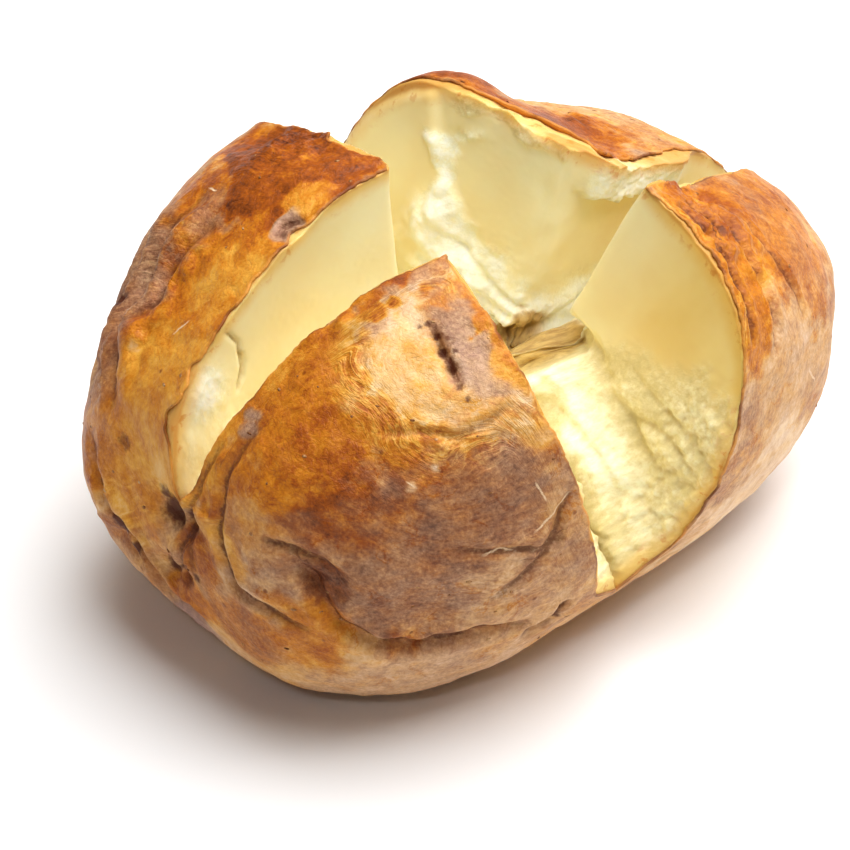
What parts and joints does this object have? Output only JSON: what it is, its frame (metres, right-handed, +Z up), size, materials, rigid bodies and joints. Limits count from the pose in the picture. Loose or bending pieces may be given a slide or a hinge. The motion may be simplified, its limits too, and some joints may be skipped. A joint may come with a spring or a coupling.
{
  "type": "baked potato",
  "caption": "Large baked potato cut from the top with a cross and pushed open into quarters that stay joined at the base.",
  "frame": {"origin": "centre of the bounding box in plan, on the surface that the potato rests on", "axes": "+Z up, +X along the potato's long axis towards the end with the lower notch, +Y away from the side where the cross cut runs lowest"},
  "size_m": [0.1182, 0.0886, 0.0682],
  "materials": {
    "baked_skin": "satin",
    "potato_flesh": "matte"
  },
  "bodies": {
    "root": {"baked_potato": "baked_skin"}
  },
  "joints": []
}
